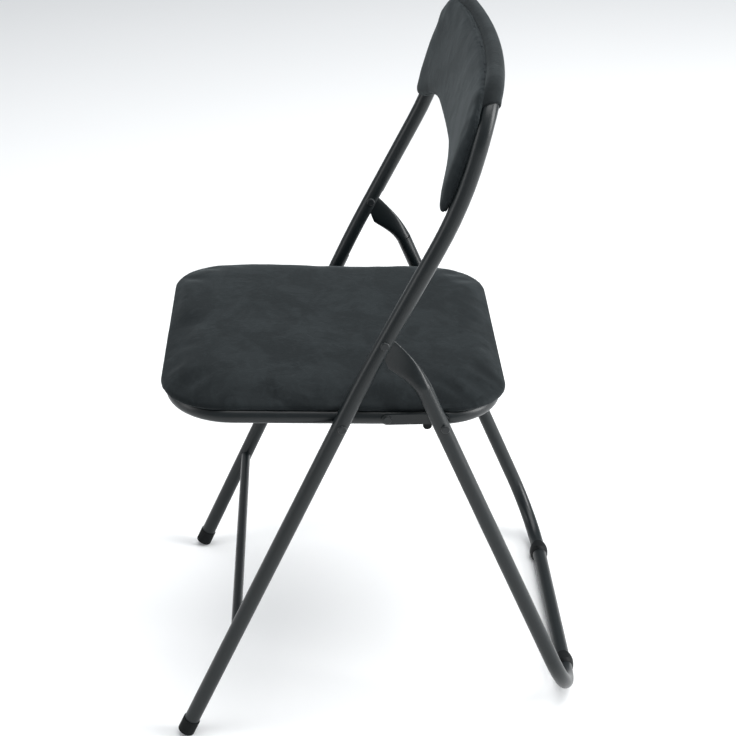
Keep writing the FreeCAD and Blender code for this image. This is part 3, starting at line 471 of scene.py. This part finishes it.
def build_seat_hem():
    """The velvet's turned edge under the seat board, pleated round the corners."""
    outer = evenly(seat_outline(1.2 * MM), 4.2 * MM)
    inner = []
    for px, py in outer:
        wave = noise.noise(Vector((px, py, 0)) * 60) * 2.2 * MM
        shrink = 25 * MM + wave
        cx = max(abs(px) - (SEAT_HALF - SEAT_CORNER), 0)
        fy = max(py - (SEAT_REAR - SEAT_CORNER), 0) or min(py - (SEAT_FRONT + SEAT_CORNER), 0)
        away = Vector((math.copysign(cx, px), fy))
        away = away.normalized() if away.length > 0 else Vector((math.copysign(1, px), 0))
        inner.append((px - away.x * shrink, py - away.y * shrink))
    low = SEAT_BASE - 0.4 * MM

    def fill(made):
        rows = [[made.verts.new((x, y, SEAT_BASE + 5 * MM)) for x, y in outer],
                [made.verts.new((x, y, SEAT_BASE + 0.8 * MM)) for x, y in outer]]
        for share in (0.04, 0.33, 0.66, 1.0):
            row = []
            for i, (a, b) in enumerate(zip(outer, inner)):
                x, y = a[0] + (b[0] - a[0]) * share, a[1] + (b[1] - a[1]) * share
                in_corner = abs(x) > SEAT_HALF - SEAT_CORNER and (
                    y > SEAT_REAR - SEAT_CORNER or y < SEAT_FRONT + SEAT_CORNER)
                pleat = (0.5 * MM if i % 3 == 0 else 0.0) * share if in_corner else 0.0
                row.append(made.verts.new((x, y, low - pleat)))
            rows.append(row)
        for one, two in zip(rows, rows[1:]):
            for n in range(len(outer)):
                m = (n + 1) % len(outer)
                made.faces.new((one[n], one[m], two[m], two[n]))
    hem = piece_from("seat_hem", fill)
    thick = hem.modifiers.new("cloth_thickness", "SOLIDIFY")
    thick.thickness = 0.7 * MM
    thick.offset = 0
    apply_all(hem)
    smooth(hem)
    hem.data.transform(seat_axes)
    return hem


# ---------------------------------------------------------------- finishes

class Value:
    """A socket of a finish, with the arithmetic that adds Math nodes."""

    def __init__(self, finish, socket):
        self.finish, self.socket = finish, socket

    def math(self, operation, first, second):
        return self.finish.node("Math", {"operation": operation}, {0: first, 1: second})

    def __add__(self, other):
        return self.math("ADD", self, other)

    def __radd__(self, other):
        return self.math("ADD", other, self)

    def __sub__(self, other):
        return self.math("SUBTRACT", self, other)

    def __rsub__(self, other):
        return self.math("SUBTRACT", other, self)

    def __mul__(self, other):
        return self.math("MULTIPLY", self, other)

    def __rmul__(self, other):
        return self.math("MULTIPLY", other, self)


class Finish:
    """One material in the making."""

    def __init__(self, name):
        self.material = bpy.data.materials.new(name)
        self.material.use_nodes = True
        self.nodes = self.material.node_tree.nodes
        self.links = self.material.node_tree.links
        self.nodes.clear()

    def node(self, kind, settings, inputs, output=0):
        """Adds a node: its settings first, a ramp's stops among them, then its inputs."""
        made = self.nodes.new("ShaderNode" + kind)
        for name, value in settings.items():
            if name == "stops":
                ramp = made.color_ramp
                for place, tone in value[2:]:
                    ramp.elements.new(place)
                for element, (place, tone) in zip(ramp.elements, value):
                    element.position = place
                    element.color = (tone, tone, tone, 1)
            else:
                setattr(made, name, value)
        for name, value in inputs.items():
            if isinstance(value, Value):
                self.links.new(value.socket, made.inputs[name])
            else:
                made.inputs[name].default_value = value
        return Value(self, made.outputs[output]) if made.outputs else made

    def place(self, scale=(1, 1, 1), turn=(0, 0, 0)):
        """Object coordinates, turned and then stretched by the scale."""
        where = self.node("TexCoord", {}, {}, 3)
        return self.node("Mapping", {"vector_type": "POINT"},
                         {"Vector": where, "Scale": scale, "Rotation": turn})

    def noise(self, where, scale, detail=2, roughness=0.5, distortion=0.0):
        return self.node("TexNoise", {}, {"Vector": where, "Scale": scale, "Detail": detail,
                                          "Roughness": roughness, "Distortion": distortion})

    def ramp(self, value, *stops):
        return self.node("ValToRGB", {"stops": stops}, {"Fac": value})

    def blend(self, share, first, second):
        """first where share is 0, second where it is 1."""
        return self.node("Mix", {"data_type": "RGBA"}, {0: share, 6: first, 7: second}, 2)

    def relief(self, height, strength, distance, under=None):
        inputs = {"Height": height, "Strength": strength, "Distance": distance}
        if under:
            inputs["Normal"] = under
        return self.node("Bump", {}, inputs)

    def finished(self, **inputs):
        """Closes the finish with its shader; names are the sockets', with _ for spaces."""
        sockets = {name.replace("_", " "): value for name, value in inputs.items()}
        shader = self.node("BsdfPrincipled", {}, sockets)
        self.node("OutputMaterial", {}, {"Surface": shader})
        return self.material


def tone(red, green, blue):
    return (red, green, blue, 1)


def velvet(name, turn, streak, base, light):
    """Short pile velvet: handled patches, brushed streaks along one way, a grain of pile tips."""
    cloth = Finish(name)
    where = cloth.place(turn=turn)
    drawn = cloth.place(scale=streak, turn=turn)
    patches = cloth.ramp(cloth.noise(where, 17, 5, 0.66, 0.4), (0.44, 0), (0.58, 1))
    marks = cloth.ramp(cloth.noise(where, 46, 3, 0.7, 1.6), (0.5, 0), (0.66, 1))
    brushed = cloth.noise(drawn, 30, 4, 0.6, 0.3)
    pile = cloth.noise(where, 900, 2, 0.7)
    tufts = cloth.noise(where, 260, 2, 0.6)
    share = patches * 0.4 + marks * 0.28 + brushed * 0.36 + tufts * 0.3 + pile * 0.2 - 0.24
    colour = cloth.blend(share, base, light)
    nap = cloth.relief(brushed * 0.5 + patches * 0.3 + marks * 0.2, 0.35, 0.0012)
    grain = cloth.relief(pile * 0.6 + tufts * 0.4, 0.45, 0.0004, nap)
    return cloth.finished(Base_Color=colour, Roughness=0.82 - patches * 0.08, Normal=grain,
                          Sheen_Weight=VELVET_SHEEN, Sheen_Roughness=0.4,
                          Sheen_Tint=tone(0.8, 0.9, 0.93),
                          Specular_IOR_Level=0.14)


def painted_steel(name, base, roughness):
    """Satin powder coat: a fine orange peel, faint dust and a few dull rub marks."""
    paint = Finish(name)
    where = paint.place()
    peel = paint.noise(where, 520, 2, 0.5)
    soft = paint.noise(where, 9, 3, 0.6)
    rubbed = paint.ramp(paint.noise(paint.place(scale=(1, 1, 0.35)), 55, 4, 0.7, 0.8),
                        (0.58, 0), (0.7, 1))
    speck = paint.ramp(paint.noise(where, 1500, 1, 0.5), (0.66, 0), (0.74, 1))
    colour = paint.blend(rubbed * 0.35 + soft * 0.3 + speck * 0.2, base,
                         tuple(min(1, c * 1.9) for c in base[:3]) + (1,))
    return paint.finished(Base_Color=colour,
                          Roughness=roughness + rubbed * 0.09 + soft * 0.06 - 0.03,
                          Normal=paint.relief(peel, 0.18, 0.0003), Specular_IOR_Level=0.34)


def rubber(name, base, roughness, grain_size):
    """Moulded rubber or plastic: a fine spark grain, with patches of dust."""
    moulded = Finish(name)
    where = moulded.place()
    grain = moulded.noise(where, grain_size, 3, 0.7)
    dust = moulded.ramp(moulded.noise(where, 60, 4, 0.65), (0.45, 0), (0.72, 1))
    colour = moulded.blend(dust * 0.3 + grain * 0.15, base, tone(0.018, 0.02, 0.021))
    return moulded.finished(Base_Color=colour, Roughness=roughness + dust * 0.1,
                            Normal=moulded.relief(grain, 0.3, 0.0003), Specular_IOR_Level=0.12)


def plywood(name):
    """Rotary cut face veneer: long wandering grain, pores along it and darker patches."""
    wood = Finish(name)
    flow = wood.place(scale=(14, 1.1, 14))
    grain = wood.noise(flow, 9, 6, 0.62, 1.4)
    pores = wood.ramp(wood.noise(wood.place(scale=(90, 4, 90)), 20, 2, 0.5), (0.6, 0), (0.7, 1))
    tint = wood.noise(wood.place(), 5, 2, 0.5)
    colour = wood.blend(grain * 0.75 + tint * 0.3 - 0.1, tone(0.5, 0.35, 0.21),
                        tone(0.27, 0.165, 0.09))
    colour = wood.blend(pores * 0.5, colour, tone(0.13, 0.08, 0.045))
    return wood.finished(Base_Color=colour, Roughness=0.62 + grain * 0.12,
                         Normal=wood.relief(grain + pores * 0.5, 0.25, 0.0004))


def plated(name):
    """Zinc plate: a fine grain and a cloudy bloom."""
    zinc = Finish(name)
    where = zinc.place()
    bloom = zinc.noise(where, 240, 4, 0.6)
    colour = zinc.blend(bloom, tone(0.62, 0.62, 0.6), tone(0.42, 0.43, 0.43))
    return zinc.finished(Base_Color=colour, Metallic=1.0, Roughness=0.28 + bloom * 0.22,
                         Normal=zinc.relief(zinc.noise(where, 1400, 2), 0.15, 0.0002))


def wear(item, material):
    """The item shows this one material."""
    item.data.materials.clear()
    item.data.materials.append(material)
    item.data.polygons.foreach_set("material_index", [0] * len(item.data.polygons))


# ---------------------------------------------------------------- the chair

seat_turn = (math.radians(SEAT_LEAN), 0, 0)
back_turn = (math.radians(BACK_LEAN), 0, 0)
seat_velvet = velvet("seat_velvet", seat_turn, (0.5, 1.7, 1), tone(0.003, 0.0047, 0.0055),
                     tone(0.0112, 0.0148, 0.0163))
# The backrest's velvet is the seat's fabric with its tones painted lighter: painted light on the
# backrest pad and its lining.
back_velvet_painted_light = velvet("back_velvet_painted_light", back_turn, (2.4, 1, 0.35), tone(0.005, 0.0073, 0.0084),
                     tone(0.0145, 0.0188, 0.0206))
# The sleeve's velvet is the seat's fabric with its lighter tone painted darker: painted shade on
# the sleeve.
sleeve_velvet_painted_shade = velvet("sleeve_velvet_painted_shade", back_turn, (0.8, 1.2, 1), tone(0.003, 0.0046, 0.0052),
                       tone(0.0085, 0.0112, 0.0124))
frame_paint = painted_steel("frame_paint", tone(0.0036, 0.0058, 0.0066), 0.34)
rivet_paint = painted_steel("rivet_paint", tone(0.008, 0.01, 0.011), 0.3)
slot_finish = {
    "painted_steel": frame_paint,
    "rivet_steel": rivet_paint,
    "black_rubber": rubber("cap_rubber", tone(0.003, 0.0036, 0.0038), 0.66, 700),
    "black_plastic": rubber("glide_plastic", tone(0.004, 0.0048, 0.005), 0.5, 1100),
    "nylon": rubber("washer_nylon", tone(0.012, 0.013, 0.014), 0.5, 900),
    "plywood": plywood("board_plywood"),
    "zinc_steel": plated("zinc_plate"),
    "velvet": seat_velvet,
}
for part in frame["record"]["subparts"]:
    wear(nodes[part["node"]], slot_finish[part["material_slot"]])

seat_pad = build_seat_pad()
wear(seat_pad, seat_velvet)
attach(seat_pad, "seat")
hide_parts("seat_pad")

seat_hem = build_seat_hem()
wear(seat_hem, seat_velvet)
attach(seat_hem, "seat")

back_pad = build_back_pad()
wear(back_pad, back_velvet_painted_light)
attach(back_pad, "front_frame")
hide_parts("backrest_pad")

lining = build_back_lining()
wear(lining, back_velvet_painted_light)
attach(lining, "front_frame")
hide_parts("backrest_board")

sleeve, sleeve_length = build_sleeve()
wear(sleeve, sleeve_velvet_painted_shade)
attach(sleeve, "front_frame")
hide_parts("backrest_sleeve")

# ---------------------------------------------------------------- floor, light and camera

bpy.ops.mesh.primitive_plane_add(size=24, location=(0, 0, -0.0006))
floor = bpy.context.active_object
floor.name = "studio_floor"
ground = Finish("pale_floor")
wash = ground.noise(ground.place(), 0.8, 2)
ground_colour = ground.blend(wash, tone(0.86, 0.87, 0.87), tone(0.9, 0.905, 0.905))
wear(floor, ground.finished(Base_Color=ground_colour, Roughness=0.9, Specular_IOR_Level=0.1))

world = bpy.data.worlds.new("studio")
bpy.context.scene.world = world
world.use_nodes = True
world.node_tree.nodes["Background"].inputs["Color"].default_value = tone(0.93, 0.96, 1.0)
world.node_tree.nodes["Background"].inputs["Strength"].default_value = 0.5


def softbox(name, place, aim, size, power, hue=(1, 1, 1)):
    lamp = bpy.data.lights.new(name, "AREA")
    lamp.shape = "RECTANGLE"
    lamp.size, lamp.size_y = size
    lamp.energy = power
    lamp.color = hue
    item = bpy.data.objects.new(name, lamp)
    item.location = place
    item.rotation_euler = (Vector(aim) - Vector(place)).to_track_quat("-Z", "Y").to_euler()
    bpy.context.scene.collection.objects.link(item)


softbox("overhead", (0.2, 0.7, 3.4), (0, 0, 0.3), (3.0, 3.0), 120)
softbox("rear_side", (0.7, 3.0, 1.5), (0, 0, 0.5), (1.4, 2.4), 125)
softbox("front_side", (0.6, -3.2, 1.5), (0, 0, 0.5), (1.2, 2.4), 28)

# The camera stands at the sitter's left; its turn, dip and roll are in radians.
yaw, pitch, roll = 0.0136237, 0.4737013, -0.0461294
toward = Vector((-math.cos(pitch) * math.cos(yaw), math.cos(pitch) * math.sin(yaw),
                 -math.sin(pitch)))
level = toward.cross(Vector((0, 0, 1))).normalized()
upright = level.cross(toward)
camera = bpy.data.objects.new("camera", bpy.data.cameras.new("camera"))
camera.data.sensor_width = 36
camera.data.lens = 84.05
right = level * math.cos(roll) + upright * math.sin(roll)
above = upright * math.cos(roll) - level * math.sin(roll)
camera.matrix_world = (Matrix.Translation((1.925405, -0.019662, 1.372628))
                       @ Matrix((right, above, -toward)).transposed().to_4x4())
bpy.context.scene.collection.objects.link(camera)
bpy.context.scene.camera = camera
bpy.context.scene.view_settings.view_transform = "Standard"
